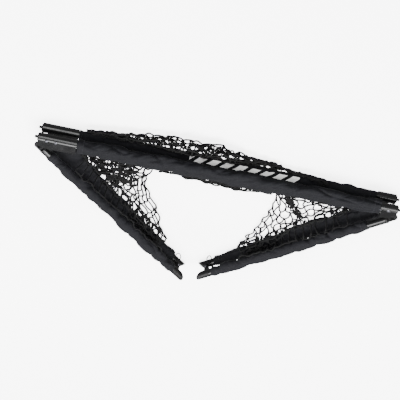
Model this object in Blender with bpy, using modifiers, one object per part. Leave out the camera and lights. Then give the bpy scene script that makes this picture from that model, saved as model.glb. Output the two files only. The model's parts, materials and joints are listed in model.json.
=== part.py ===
# Folding floorball goal, folded flat for carrying.
# The base frame (rear rail and two side rails) lies on the floor. The front frame (crossbar
# and two posts) lies on top of it. Both legs are folded in beside the bars.
# Metres, +Z up, +X along the crossbar, -Y towards the feet.

from math import acos, asin, cos, pi, radians, sin

import bmesh
import bpy
from mathutils import Matrix, Vector

# Driving dimensions
PIVOT_SPAN = 0.900  # between the two corner pivots
LEG = 0.530  # corner pivot to foot hinge
FOOT_FROM_MIDDLE = {"left": 0.0464, "right": 0.0346}  # how near the feet come, folded
STACK = 0.037  # base frame's tube axis up to front frame's tube axis
BASE_Z = 0.0146  # height of the base frame's tube axis
PIVOT_SET = 0.030  # crossbar axis to pivot axis
CROSSBAR_PAST = 0.006  # how far the crossbar's tube runs past the corner pivot
REAR_RAIL_PAST = 0.0015
NET_REACH = 0.076  # how far the bunched back net lies behind the crossbar axis

TUBE_R = 0.010
TUBE_WALL = 0.0012
FIT = 0.0003  # clearance between pieces that touch
RUN = 0.0008  # clearance of the hook on its pin

PLUG_DEPTH = 0.030
PLUG_RIM = 0.0025
NUB_R = 0.0036
NUB_LENGTH = 0.0095

CHEEK = 0.0015
BRACKET_LENGTH = 0.096
EAR_R = 0.0092
RIVET_R = 0.0022
RIVET_HEAD_R = 0.0042
RIVET_HEAD = 0.0014
WEB_REACH = 0.0251  # how far the bracket's web reaches in front of the crossbar's axis
WEB_SINK = 0.0004  # how far the web's top lies below the top of the clamp
WEB_CORNER = (0.022, 0.0147)  # the web's rounded outer corner, along and across
EAR_LENGTH = 0.034  # from the corner pivot to where the ear meets the clamp
BRACKET_RIVETS = (0.022, 0.045)  # from the end of the crossbar

EYELET_R = 0.0054
EYELET_WALL = 0.0008
EYELET_FLANGE_R = 0.0074
EYELET_FLANGE = 0.0008

EYE_HALF = 0.0015  # half the thickness of a post's flattened eye
EYE_PAST = 0.005  # how far the eye's round end lies past the corner pivot
EYE_SHOULDER = 0.0115  # corner pivot to where the eye becomes as thick as the tube
TUBE_START = 0.016  # corner pivot to the end of a leg's tube
EYE_STEM = 0.045  # corner pivot to the end of the eye's stem

HOOK_HEIGHT = 0.014
HOOK_PIN_R = 0.0040
HOOK_R = 0.0094
HOOK_ARM_HALF = 0.0022
HOOK_SPARE = radians(8)
HOOK_STEM = 0.096
HOOK_RIVETS = (0.051, 0.086)  # from the corner pivot
FOLD_SPARE = radians(1.0)  # how far a leg closes past rest
CLAMP_R = 0.0126
CLAMP_LENGTH = {"left": 0.090, "right": 0.046}  # from the corner pivot inwards, up to the sleeve
CLAMP_WEB = (0.013, 0.022)  # the clamp's web: corner pivot to its outer end, and its reach

FOOT_JOIN = 0.010  # foot hinge to the end of a leg's tube
FOOT_STEM = 0.034
MITRE_BACK = 0.00025  # how far each mitred face stays back from the hinge
KNUCKLE_R = 0.0050
KNUCKLE_HALF = 0.0095
TONGUE_HALF = 0.0036
WEB_INSET = 0.0005
HINGE_PIN_R = 0.0020
HINGE_PIN_HEAD_R = 0.0034
HINGE_PIN_HEAD = 0.0012

SLEEVE_HALF_HEIGHT = 0.0162
SLEEVE_WALL = 0.0011
BAR_SLEEVE_WIDTHS = (0.0180, 0.0262)  # half width of the crossbar's sleeve, left and right
CROSSBAR_SAG = 0.0015  # how much further it hangs out in front
REAR_SLEEVE_BACK = (0.0185, 0.0155)  # the rear rail's sleeve, behind the tube, left and right
REAR_SLEEVE_FRONT = (0.0185, 0.0240)
POST_SLEEVE_INNER = 0.0175
RAIL_SLEEVE_INNER = 0.0300  # the slack of a side rail's sleeve lies on its inner side
LEG_SLEEVE_OUTER = 0.0142
SLEEVE_FOLD = 0.0016  # depth of the folds in the cloth
SLEEVE_HEM = 0.012
CROSSBAR_SLEEVE = (0.098 - PIVOT_SPAN / 2, PIVOT_SPAN / 2 - 0.037)
REAR_SLEEVE = (0.106 - PIVOT_SPAN / 2, PIVOT_SPAN / 2 - 0.050)
POST_SLEEVE = {"left": (0.036, LEG - 0.014), "right": (0.066, LEG - 0.017)}
SIDE_SLEEVE = {"left": (0.100, LEG - 0.020), "right": (0.104, LEG - 0.022)}
SLEEVE_SIDES = 16
SLEEVE_STEP = 0.050
SLEEVE_CLEAR = 0.002  # least distance from the tube to the outside of the cloth
HEM_FILL = 0.80  # a sleeve's size at its hem, as a share of its full size
HEM_EASE = 0.055  # from the hem to where the sleeve is full
CALM_HEM = 0.030  # no folds nearer to a hem than this
CALM_BRACKET = 0.120  # nor nearer than this to the end that is pulled over a bracket
FOLDS_ALONG = 47.0  # radians per metre
CREASE = 0.0175  # depth of the lengthwise creases, as a share of the size
CREASE_COUNT = 3
CREASE_TWIST = 38.0  # radians per metre

CORD_R = 0.0011
NET_MESH = 0.030
BACK_NET = (0.105 - PIVOT_SPAN / 2, PIVOT_SPAN / 2 - 0.165)  # the bunched back net, along the crossbar
BACK_NET_ROWS = 3
SIDE_NET = (0.125, LEG - 0.065)  # where the side nets are laced to a post
SIDE_NET_ROWS = 6
SIDE_NET_BAR_END = 0.285  # corner pivot to where a side net leaves the crossbar
BACK_NET_RISE = 0.014
FRONT_NET_HALF = 0.132  # the slack in front of the crossbar, to each side of the middle
FRONT_NET_REACH = 0.092  # how far it lies in front of the crossbar's axis
FRONT_NET_ROWS = 2
SIDE_NET_RISE = 0.022
SIDE_NET_BAR_START = 0.100  # corner pivot to where a side net meets the crossbar
SIDE_NET_HANG = 0.030  # how far a side net's slack lies from the sleeve near the foot
NET_FLOOR = 0.004
NET_BAR_GAP = 0.002
NET_RAIL_GAP = 0.005

TIE_R = 0.0012
TIE_BULGE = 0.012
TIE_LEAN = radians(78)  # from upright, towards the inner side
TIE_SWAY = 0.004
TIE_POINTS = 16
TIE_PLACE = 0.0130  # foot hinge to the tie cord

FACETS = 20
SMALL_FACETS = 12

# Places worked out from the dimensions
BORE_R = TUBE_R - TUBE_WALL
FRONT_Z = BASE_Z + STACK
CROSSBAR_HALF = PIVOT_SPAN / 2 + CROSSBAR_PAST
REAR_RAIL_HALF = PIVOT_SPAN / 2 + REAR_RAIL_PAST
FOLD = {side: acos((PIVOT_SPAN / 2 - gap) / LEG) for side, gap in FOOT_FROM_MIDDLE.items()}
HALF_STACK = STACK / 2
TIP = LEG + HALF_STACK + TUBE_R  # corner pivot to the pointed end of a leg
TIP_REACH = TIP * sin(FOLD["left"]) + TUBE_R * 0.35
BAR_Y = (PIVOT_SET + TIP_REACH - NET_REACH) / 2
PIVOT_Y = BAR_Y - PIVOT_SET
CHEEK_IN = TUBE_R + FIT
CHEEK_OUT = CHEEK_IN + CHEEK
EAR_TOP = -EYE_HALF - FIT  # the bracket's ear lies under the post's eye

# Scene and collections
for old in list(bpy.data.objects):
    bpy.data.objects.remove(old, do_unlink=True)
goal = bpy.data.collections.new("folding_floorball_goal")
helpers = bpy.data.collections.new("cutters")
bpy.context.scene.collection.children.link(goal)
bpy.context.scene.collection.children.link(helpers)
helpers.hide_render = True


def material(name, colour, roughness, metallic):
    made = bpy.data.materials.new(name)
    made.use_nodes = True
    shader = made.node_tree.nodes["Principled BSDF"]
    shader.inputs["Base Color"].default_value = (*colour, 1.0)
    shader.inputs["Roughness"].default_value = roughness
    shader.inputs["Metallic"].default_value = metallic
    made.diffuse_color = (*colour, 1.0)
    return made


BLACK_PAINT = material("black_paint", (0.020, 0.020, 0.022), 0.28, 0.0)
BLACK_PLASTIC = material("black_plastic", (0.016, 0.016, 0.018), 0.42, 0.0)
RIVET_STEEL = material("rivet_steel", (0.16, 0.16, 0.17), 0.35, 1.0)
SLEEVE_CLOTH = material("sleeve_cloth", (0.030, 0.031, 0.036), 0.80, 0.0)
NET_CORD = material("net_cord", (0.008, 0.008, 0.009), 0.75, 0.0)


# Empties that carry the moving frames
def frame(name, parent, place, turn=0.0):
    made = bpy.data.objects.new(name, None)
    made.empty_display_size = 0.03
    made.location = place
    made.rotation_euler = (0.0, 0.0, turn)
    made.parent = parent
    goal.objects.link(made)
    return made


def heading(side):
    return -FOLD["left"] if side == "left" else pi + FOLD["right"]


def outward(side):
    return -1.0 if side == "left" else 1.0


SIDES = ("left", "right")
bars = frame("bars_frame", None, (0, BAR_Y, FRONT_Z))
rear = frame("rear_frame", None, (0, BAR_Y, BASE_Z))
corner = {}
foot = {}
for side in SIDES:
    x = outward(side) * PIVOT_SPAN / 2
    corner[side] = frame(side + "_corner_frame", None, (x, PIVOT_Y, FRONT_Z), heading(side))
    foot[side] = frame(side + "_foot_frame", corner[side], (LEG, 0, -HALF_STACK))


# Shape tools
def add(name, mesh, parent, finish=None, place=(0, 0, 0), turn=(0, 0, 0)):
    """A part when it has a finish, or else a cutter."""
    made = bpy.data.objects.new(name, mesh)
    made.location = place
    made.rotation_euler = turn
    made.parent = parent
    if finish is None:
        helpers.objects.link(made)
        made.hide_render = True
        made.display_type = "WIRE"
    else:
        goal.objects.link(made)
        mesh.materials.append(finish)
    return made


def from_bmesh(name, bm):
    mesh = bpy.data.meshes.new(name)
    bm.to_mesh(mesh)
    bm.free()
    return mesh


ALONG_X = Matrix.Rotation(pi / 2, 4, "Y")
ALONG_Y = Matrix.Rotation(-pi / 2, 4, "X")
ALONG_Z = Matrix.Identity(4)


def rod(name, radius, start, end, axis=ALONG_Z, centre=(0, 0, 0), facets=FACETS):
    """A cylinder that runs from start to end along its axis."""
    bm = bmesh.new()
    bmesh.ops.create_cone(
        bm, cap_ends=True, segments=facets, radius1=radius, radius2=radius, depth=end - start,
        matrix=Matrix.Translation(centre) @ axis @ Matrix.Translation((0, 0, (start + end) / 2)),
    )
    return from_bmesh(name, bm)


def block(name, low, high):
    low, high = Vector(low), Vector(high)
    bm = bmesh.new()
    size = Matrix.Diagonal((*(high - low), 1.0))
    bmesh.ops.create_cube(bm, size=1.0, matrix=Matrix.Translation((low + high) / 2) @ size)
    return from_bmesh(name, bm)


def turned(name, profile, closed):
    """A mesh edge for a Screw about Z: (radius, height) points, outer side top to bottom."""
    bm = bmesh.new()
    points = [bm.verts.new((radius, 0, height)) for radius, height in profile]
    for start, end in zip(points, points[1:]):
        bm.edges.new((start, end))
    if closed:
        bm.edges.new((points[-1], points[0]))
    return from_bmesh(name, bm)


def spin(piece, facets=FACETS):
    screw = piece.modifiers.new("turn", "SCREW")
    screw.steps = screw.render_steps = facets
    screw.use_merge_vertices = True
    screw.merge_threshold = 0.00001
    return piece


def boolean(piece, other, operation="DIFFERENCE"):
    made = piece.modifiers.new(other.name, "BOOLEAN")
    made.operation = operation
    made.object = other
    return piece


def arc(centre, radius, start, end, steps):
    """Points of an arc, with the angles in degrees."""
    angles = [radians(start + (end - start) * i / steps) for i in range(steps + 1)]
    return [(centre[0] + radius * cos(a), centre[1] + radius * sin(a)) for a in angles]


def plate(name, outline, half_height):
    """A flat outline, extruded both ways along Z and made a welded mesh."""
    curve = bpy.data.curves.new(name, "CURVE")
    curve.dimensions = "2D"
    curve.fill_mode = "BOTH"
    curve.extrude = half_height
    spline = curve.splines.new("POLY")
    spline.points.add(len(outline) - 1)
    for point, (px, py) in zip(spline.points, outline):
        point.co = (px, py, 0, 1)
    spline.use_cyclic_u = True
    drawn = bpy.data.objects.new(name, curve)
    goal.objects.link(drawn)
    bpy.context.view_layer.update()
    graph = bpy.context.evaluated_depsgraph_get()
    mesh = bpy.data.meshes.new_from_object(drawn.evaluated_get(graph))
    bpy.data.objects.remove(drawn)
    bm = bmesh.new()
    bm.from_mesh(mesh)
    bmesh.ops.remove_doubles(bm, verts=bm.verts, dist=0.00001)
    bmesh.ops.recalc_face_normals(bm, faces=bm.faces)
    bm.to_mesh(mesh)
    bm.free()
    return mesh


def smooth(piece):
    piece.data.shade_smooth()
    return piece


# Steel tubes
def tube(name, parent, start, end, height=0.0):
    profile = [(TUBE_R, end), (TUBE_R, start), (BORE_R, start), (BORE_R, end)]
    made = add(name, turned(name, profile, True), parent, BLACK_PAINT, (0, 0, height), (0, pi / 2, 0))
    return smooth(spin(made))


def rivet_hole(pieces, name, parent, centre, axis):
    hole = add(name, rod(name, RIVET_R + FIT, -0.03, 0.03, axis, centre, SMALL_FACETS), parent)
    for piece in pieces:
        boolean(piece, hole)


def rivet(name, parent, place, reach, turn):
    """A domed rivet with a head at each end, whose heads start at reach from the middle."""
    dome = [(0.0, reach + RIVET_HEAD), (RIVET_HEAD_R * 0.6, reach + RIVET_HEAD * 0.85),
            (RIVET_HEAD_R, reach + RIVET_HEAD * 0.3), (RIVET_HEAD_R, reach), (RIVET_R, reach)]
    profile = dome + [(radius, -height) for radius, height in reversed(dome)]
    made = add(name, turned(name, profile, False), parent, RIVET_STEEL, place, turn)
    return smooth(spin(made, SMALL_FACETS))


def end_plug(name, parent, place, turn):
    """A plastic plug in a tube's end, with the nub that stands out of it."""
    stem = BORE_R - FIT
    profile = [(0.0, NUB_LENGTH), (NUB_R * 0.7, NUB_LENGTH), (NUB_R, NUB_LENGTH - 0.0012),
               (NUB_R, PLUG_RIM), (TUBE_R * 0.82, PLUG_RIM), (TUBE_R, PLUG_RIM * 0.4), (TUBE_R, FIT),
               (stem, FIT), (stem, -PLUG_DEPTH + 0.002), (stem - 0.002, -PLUG_DEPTH), (0.0, -PLUG_DEPTH)]
    made = add(name, turned(name, profile, False), parent, BLACK_PLASTIC, place, turn)
    return smooth(spin(made))


# Crossbar with its corner brackets
crossbar_tube = tube("crossbar_tube", bars, -CROSSBAR_HALF, CROSSBAR_HALF)
rear_rail_tube = tube("rear_rail_tube", rear, -REAR_RAIL_HALF, REAR_RAIL_HALF)
for side in SIDES:
    facing = (0, outward(side) * pi / 2, 0)
    end_plug("crossbar_end_" + side, bars, (outward(side) * CROSSBAR_HALF, 0, 0), facing)
    end_plug("rear_rail_end_" + side, rear, (outward(side) * REAR_RAIL_HALF, 0, 0), facing)


def mirrored(side, points):
    return [(outward(side) * px, py) for px, py in points]


def web_outline(side):
    """The bracket's web from above. Under the crossbar's sleeve, on the right, it is cut away."""
    inner = CROSSBAR_HALF - BRACKET_LENGTH if side == "left" else PIVOT_SPAN / 2 - EAR_LENGTH
    long, deep = WEB_CORNER
    round_part = [(CROSSBAR_HALF - long + px * long, deep - WEB_REACH + py * deep)
                  for px, py in arc((0, 0), 1, -90, 0, 7)]
    return mirrored(side, [(inner, 0), (inner, -WEB_REACH)] + round_part + [(CROSSBAR_HALF, 0)])


def ear_outline(side):
    """The bracket's ear from above, round the pivot."""
    joined = -CHEEK_OUT + CHEEK * 2
    ends = (PIVOT_SPAN / 2 - EAR_LENGTH, joined), (CROSSBAR_HALF, joined)
    return mirrored(side, [ends[0]] + arc((PIVOT_SPAN / 2, -PIVOT_SET), EAR_R, -140, 8, 10) + [ends[1]])


for side in SIDES:
    out = outward(side)
    name = "corner_bracket_" + side
    ends = sorted((out * (CROSSBAR_HALF - BRACKET_LENGTH), out * CROSSBAR_HALF))
    bracket = add(name, rod(name, CHEEK_OUT, *ends, ALONG_X), bars, BLACK_PAINT)
    level = (0, 0, CHEEK_OUT - WEB_SINK - CHEEK / 2)
    web = plate(name + "_web", web_outline(side), CHEEK / 2)
    boolean(bracket, add(name + "_web", web, bars, None, level), "UNION")
    level = (0, 0, EAR_TOP - CHEEK / 2)
    ear = plate(name + "_ear", ear_outline(side), CHEEK / 2)
    boolean(bracket, add(name + "_ear", ear, bars, None, level), "UNION")
    boolean(bracket, add(name + "_inside", rod(name, CHEEK_IN, -1, 1, ALONG_X), bars))
    pivot = (out * PIVOT_SPAN / 2, -PIVOT_SET, 0)
    bore = rod(name + "_bore", EYELET_R + FIT, EAR_TOP - CHEEK * 2, EAR_TOP + CHEEK, ALONG_Z, pivot)
    boolean(bracket, add(name + "_bore", bore, bars))
    for number, inset in enumerate(BRACKET_RIVETS, 1):
        place = (out * (CROSSBAR_HALF - inset), 0, 0)
        pieces = (bracket, crossbar_tube, bpy.data.objects["crossbar_end_" + side])
        drilled = pieces if inset < PLUG_DEPTH + RIVET_R + FIT else pieces[:2]
        rivet_hole(drilled, f"{name}_hole_{number}", bars, place, ALONG_Z)
        rivet(f"bracket_rivet_{side}_{number}", bars, place, CHEEK_OUT + FIT, (0, 0, 0))

    # The hollow pivot rivet, open right through, from under the ear to over the post's eye
    bore_r = EYELET_R - EYELET_WALL
    rim = EYELET_FLANGE_R - EYELET_FLANGE / 2
    top = EYE_HALF + FIT
    under = EAR_TOP - CHEEK - FIT
    profile = [(bore_r, top + EYELET_FLANGE), (rim, top + EYELET_FLANGE), (EYELET_FLANGE_R, top),
               (EYELET_R, top), (EYELET_R, under), (EYELET_FLANGE_R, under),
               (rim, under - EYELET_FLANGE), (bore_r, under - EYELET_FLANGE)]
    name = "pivot_rivet_" + side
    smooth(spin(add(name, turned(name, profile, True), bars, BLACK_PAINT, pivot)))


# Posts and side rails
def union_rod(piece, name, parent, radius, start, end,
              axis=ALONG_X, centre=(0, 0, 0), facets=FACETS):
    boolean(piece, add(name, rod(name, radius, start, end, axis, centre, facets), parent), "UNION")


def mitre_face(name, parent, up):
    """Takes away what lies past a 45 degree plane through the foot hinge."""
    cutter = add(name, block(name, (-MITRE_BACK, -0.05, -0.2), (0.2, 0.05, 0.2)), parent)
    cutter.rotation_euler = (0, radians(45 * up), 0)
    return cutter


def foot_fitting(name, side, up, finish):
    """The mitred end of a tube: 1 for the post, with two lugs, -1 for the side rail, with one."""
    axis_z = up * HALF_STACK
    centre = (0, 0, axis_z)
    parent = foot[side]
    end = rod(name, TUBE_R, -FOOT_JOIN + FIT, HALF_STACK + TUBE_R, ALONG_X, centre)
    body = add(name, end, parent, finish)
    union_rod(body, name + "_stem", parent, BORE_R - FIT, -FOOT_STEM, 0, ALONG_X, centre)
    half = KNUCKLE_HALF if up > 0 else TONGUE_HALF
    low, high = sorted((0.0, up * (HALF_STACK - TUBE_R * 0.45)))
    web_y = half - WEB_INSET
    web = block(name + "_web", (-KNUCKLE_R * 0.9, -web_y, low), (KNUCKLE_R * 0.75, web_y, high))
    boolean(body, add(name + "_web", web, parent), "UNION")
    boolean(body, mitre_face(name + "_mitre", parent, up))
    union_rod(body, name + "_knuckle", parent, KNUCKLE_R, -half, half, ALONG_Y, (0, 0, 0), SMALL_FACETS)
    if up > 0:
        side_y = TONGUE_HALF + FIT
        slot = block(name + "_slot", (-0.012, -side_y, -0.01), (0.02, side_y, KNUCKLE_R + 0.001))
        boolean(body, add(name + "_slot", slot, parent))
    hole = rod(name + "_hole", HINGE_PIN_R + FIT, -0.03, 0.03, ALONG_Y, (0, 0, 0), SMALL_FACETS)
    boolean(body, add(name + "_hole", hole, parent))
    return body


def hook_wedge(side):
    """The open side of the hook, wide enough for the arm at every angle of the leg."""
    arm = asin((HOOK_ARM_HALF + RUN) / (HOOK_PIN_R + RUN)) + HOOK_SPARE
    first = pi / 2 + FOLD[side] - FOLD_SPARE - arm
    last = pi + arm
    turn = 1.0 if side == "left" else -1.0
    reach = HOOK_R * 2
    steps = 6
    spread = [first + (last - first) * i / steps for i in range(steps + 1)]
    return [(0.0, 0.0)] + [(reach * cos(a), turn * reach * sin(a)) for a in spread]


for side in SIDES:
    # Post, with the eye that turns on the pivot rivet
    here = corner[side]
    tube(side + "_post_tube", here, TUBE_START, LEG - FOOT_JOIN)
    name = side + "_post_eye"
    joined = TUBE_START - FIT * 2
    outline = arc((-EYE_PAST, 0), TUBE_R, 90, 270, 12) + [(joined, -TUBE_R), (joined, TUBE_R)]
    eye = add(name, plate(name, outline, EYE_HALF), here, BLACK_PLASTIC)
    union_rod(eye, name + "_neck", here, TUBE_R, EYE_SHOULDER, TUBE_START - FIT)
    union_rod(eye, name + "_stem", here, BORE_R - FIT, EYE_SHOULDER + FIT, EYE_STEM)
    bore = rod(name + "_bore", EYELET_R + FIT, -0.03, 0.03)
    boolean(eye, add(name + "_bore", bore, here))
    foot_fitting(side + "_post_foot", side, 1, BLACK_PLASTIC)
    name = side + "_hinge_pin"
    head = KNUCKLE_HALF + FIT
    half_pin = [(0.0, head + HINGE_PIN_HEAD), (HINGE_PIN_HEAD_R * 0.8, head + HINGE_PIN_HEAD),
                (HINGE_PIN_HEAD_R, head), (HINGE_PIN_R, head)]
    profile = half_pin + [(radius, -height) for radius, height in reversed(half_pin)]
    pin = add(name, turned(name, profile, False), foot[side], RIVET_STEEL, (0, 0, 0), (pi / 2, 0, 0))
    smooth(spin(pin, SMALL_FACETS))

    # Side rail, with the hook that clips on the rear rail's pin
    rail = tube(side + "_side_rail_tube", here, TUBE_START, LEG - FOOT_JOIN, -STACK)
    name = side + "_rear_hook"
    level = (0, 0, -STACK)
    ring = rod(name, HOOK_R, -HOOK_HEIGHT / 2, HOOK_HEIGHT / 2, ALONG_Z, level)
    hook = add(name, ring, here, BLACK_PLASTIC)
    union_rod(hook, name + "_neck", here, HOOK_R - FIT, HOOK_PIN_R + RUN, TUBE_START - FIT, ALONG_X, level)
    union_rod(hook, name + "_stem", here, BORE_R - FIT, HOOK_R, HOOK_STEM, ALONG_X, level)
    bore = rod(name + "_bore", HOOK_PIN_R + RUN, -0.03, 0.03, ALONG_Z, level)
    boolean(hook, add(name + "_bore", bore, here))
    wedge = add(name + "_wedge", plate(name + "_wedge", hook_wedge(side), 0.02), here, None, level)
    boolean(hook, wedge)
    for number, inset in enumerate(HOOK_RIVETS, 1):
        place = (inset, 0, -STACK)
        rivet_hole((rail, hook), f"{name}_hole_{number}", here, place, ALONG_Y)
        rivet(f"{side}_hook_rivet_{number}", here, place, TUBE_R + FIT, (pi / 2, 0, 0))
    foot_fitting(side + "_side_rail_foot", side, -1, BLACK_PLASTIC)

    # The rear rail's corner: a clamp on the tube with a web, an arm and the upright pin
    out = outward(side)
    x = out * PIVOT_SPAN / 2
    name = "rear_corner_" + side
    inner = x - out * CLAMP_LENGTH[side]
    ends = sorted((inner, out * (REAR_RAIL_HALF - FIT)))
    clamp = add(name, rod(name, CLAMP_R, *ends, ALONG_X), rear, BLACK_PAINT)
    arm = block(name + "_arm", (x - HOOK_ARM_HALF, -PIVOT_SET, -HOOK_HEIGHT / 2),
                (x + HOOK_ARM_HALF, -TUBE_R, HOOK_HEIGHT / 2))
    boolean(clamp, add(name + "_arm", arm, rear), "UNION")
    ends = sorted((inner, x - out * CLAMP_WEB[0]))
    web = block(name + "_web", (ends[0], -CLAMP_WEB[1], -CHEEK / 2), (ends[1], -TUBE_R, CHEEK / 2))
    boolean(clamp, add(name + "_web", web, rear), "UNION")
    union_rod(clamp, name + "_pin", rear, HOOK_PIN_R, -HOOK_HEIGHT / 2, HOOK_HEIGHT / 2, ALONG_Z,
              (x, -PIVOT_SET, 0))
    bore = rod(name + "_bore", TUBE_R + FIT, -1, 1, ALONG_X)
    boolean(clamp, add(name + "_bore", bore, rear))


# Cloth sleeves
def sleeve_fill(along, length, phase, hemmed):
    """How full a sleeve is: drawn in at a hem, soft folds between, calm where it is slack."""
    to_start, to_end = along, length - along
    hem = min(to_start, to_end if hemmed else length)
    calm = min(1.0, to_start / CALM_HEM, to_end / (CALM_HEM if hemmed else CALM_BRACKET))
    wave = SLEEVE_FOLD * (1 + sin(along * FOLDS_ALONG + phase)) / 2 * calm
    return HEM_FILL + (1 - HEM_FILL) * min(1.0, hem / HEM_EASE), wave, calm


def sleeve(name, parent, start, end, widths, height=0.0, phase=0.0, hemmed=True):
    """A thin loft of flattened rings along X, closed on the tube at its hems.

    widths(share) gives how far the cloth reaches to +Y and to -Y at that share of its length.
    The base frame's sleeves are pressed flat where they lie on the floor. A sleeve that isn't
    hemmed at its far end stays open there, because it is pulled over the corner bracket."""
    length = end - start
    steps = max(4, round(length / SLEEVE_STEP))
    middle = [length * i / steps for i in range(1, steps)]
    stations = [0.0, SLEEVE_HEM] + middle + [length - SLEEVE_HEM, length]
    floor = -BASE_Z if parent is rear or height else -1.0
    bore = (TUBE_R + FIT) / cos(pi / SLEEVE_SIDES)
    bm = bmesh.new()
    outer, inner = [], []
    for number, along in enumerate(stations):
        fill, wave, calm = sleeve_fill(along, length, phase, hemmed)
        at_hem = number == 0 or (hemmed and number == len(stations) - 1)
        to_plus, to_minus = widths(along / length)
        outside, inside = [], []
        for i in range(SLEEVE_SIDES):
            a = 2 * pi * (i + 0.5) / SLEEVE_SIDES
            crease = 1.0 - CREASE * calm * (1.0 + sin(CREASE_COUNT * a + along * CREASE_TWIST + phase))
            reach = to_plus if cos(a) > 0 else to_minus
            slack = min(1.0, reach / TUBE_R - 1.25)
            y = max((reach * fill - wave * slack) * crease, TUBE_R + SLEEVE_CLEAR) * cos(a)
            z = max((SLEEVE_HALF_HEIGHT * fill - wave * 0.3) * crease * sin(a), floor)
            in_y, in_z = y - SLEEVE_WALL * cos(a), z - SLEEVE_WALL * sin(a)
            if at_hem:
                in_y, in_z = bore * cos(a), bore * sin(a)
            outside.append(bm.verts.new((start + along, y, z)))
            inside.append(bm.verts.new((start + along, in_y, in_z)))
        outer.append(outside)
        inner.append(inside)
    for rings in (outer, inner):
        for first, second in zip(rings, rings[1:]):
            bridge(bm, first, second)
    bridge(bm, outer[0], inner[0])
    bridge(bm, outer[-1], inner[-1])
    bmesh.ops.recalc_face_normals(bm, faces=bm.faces)
    return smooth(add(name, from_bmesh(name, bm), parent, SLEEVE_CLOTH, (0, 0, height)))


def between(pair, share):
    return pair[0] + (pair[1] - pair[0]) * share


def crossbar_widths(share):
    width = between(BAR_SLEEVE_WIDTHS, share)
    return width, width + CROSSBAR_SAG


def rear_widths(share):
    return between(REAR_SLEEVE_BACK, share), between(REAR_SLEEVE_FRONT, share)


def leg_widths(side, inner):
    """The inner side is local +Y on the left leg and -Y on the right one."""
    widths = (inner, LEG_SLEEVE_OUTER)
    return lambda share: widths if side == "left" else widths[::-1]


def bridge(bm, first, second):
    """Quads between two rings of as many points."""
    for i in range(len(first)):
        j = (i + 1) % len(first)
        bm.faces.new((first[i], first[j], second[j], second[i]))


sleeve("crossbar_sleeve", bars, *CROSSBAR_SLEEVE, crossbar_widths, hemmed=False)
sleeve("rear_rail_sleeve", rear, *REAR_SLEEVE, rear_widths, phase=1.7)
for side in SIDES:
    phase = 0.6 if side == "left" else 2.9
    widths = leg_widths(side, POST_SLEEVE_INNER)
    sleeve(side + "_post_sleeve", corner[side], *POST_SLEEVE[side], widths, phase=phase)
    widths = leg_widths(side, RAIL_SLEEVE_INNER)
    sleeve(side + "_side_rail_sleeve", corner[side], *SIDE_SLEEVE[side], widths, -STACK, phase + 1.3)


# Tie cords at the feet
def tie_cord(name, side):
    """A closed loop round the side rail, with slack that stands out beside it."""
    curve = bpy.data.curves.new(name, "CURVE")
    curve.dimensions = "3D"
    curve.bevel_depth = TIE_R
    curve.bevel_resolution = 1
    spline = curve.splines.new("POLY")
    spline.points.add(TIE_POINTS - 1)
    turn = 1.0 if side == "left" else -1.0
    for i, point in enumerate(spline.points):
        a = 2 * pi * i / TIE_POINTS
        slack = max(0.0, cos(a - TIE_LEAN))
        reach = TUBE_R + TIE_R * 1.2 + FIT + TIE_BULGE * slack ** 2
        point.co = (TIE_SWAY * sin(a * 2) * slack, turn * reach * sin(a), reach * cos(a), 1)
    spline.use_cyclic_u = True
    add(name, curve, foot[side], NET_CORD, (-TIE_PLACE, 0, -HALF_STACK))


for side in SIDES:
    tie_cord(side + "_tie_cord", side)


# Nets, bunched as they lie when the goal is folded
def net(name, parent, columns, rows, place):
    """A grid of meshes laid by place(u, v), whose edges become cord."""
    bm = bmesh.new()
    bmesh.ops.create_grid(bm, x_segments=columns, y_segments=rows, size=0.5)
    for vert in bm.verts:
        vert.co = place(vert.co.x + 0.5, vert.co.y + 0.5)
    bmesh.ops.recalc_face_normals(bm, faces=bm.faces)
    made = add(name, from_bmesh(name, bm), parent, NET_CORD)
    wire = made.modifiers.new("cord", "WIREFRAME")
    wire.thickness = 2 * CORD_R
    wire.use_even_offset = False
    wire.use_boundary = True
    wire.use_replace = True
    return made


SIDE_OF_RING = cos(pi / SLEEVE_SIDES)
CROSSBAR_LENGTH = CROSSBAR_SLEEVE[1] - CROSSBAR_SLEEVE[0]
BAR_LACED = BAR_SLEEVE_WIDTHS[1] * SIDE_OF_RING + CORD_R + FIT * 2
POST_LACED = POST_SLEEVE_INNER * SIDE_OF_RING + CORD_R + FIT
RAIL_BESIDE = RAIL_SLEEVE_INNER + NET_RAIL_GAP


def laced_beside(share, edge):
    """How far from the crossbar's axis a laced edge lies: 0 behind it, 1 in front of it."""
    return crossbar_widths(share)[edge] * SIDE_OF_RING + CORD_R + FIT * 2


def front_net_place(u, v):
    """The slack in front of the crossbar: from beside its sleeve down to the floor."""
    x = FRONT_NET_HALF * (2 * u - 1)
    laced = laced_beside((x - CROSSBAR_SLEEVE[0]) / CROSSBAR_LENGTH, 1)
    depth = FRONT_NET_REACH - CORD_R - laced
    y = laced + depth * v * (0.82 + 0.18 * sin(x * 41.0))
    return (x + 0.006 * v * sin(x * 67.0), -y, -(FRONT_Z - NET_FLOOR) * v)


def back_net_place(u, v):
    """From beside the crossbar's sleeve down to the floor behind the rear rail, in waves."""
    x = BACK_NET[0] + (BACK_NET[1] - BACK_NET[0]) * u
    laced = laced_beside((x - CROSSBAR_SLEEVE[0]) / CROSSBAR_LENGTH, 0)
    depth = NET_REACH - CORD_R - laced
    y = laced + depth * v * (0.86 + 0.14 * sin(x * 31.0))
    lift = BACK_NET_RISE * sin(pi * v) * (0.75 + 0.25 * cos(x * 57.0))
    sway = 0.010 * v * sin(x * 73.0)
    return (x + sway, y, lift - (FRONT_Z - NET_FLOOR) * v)


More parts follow.
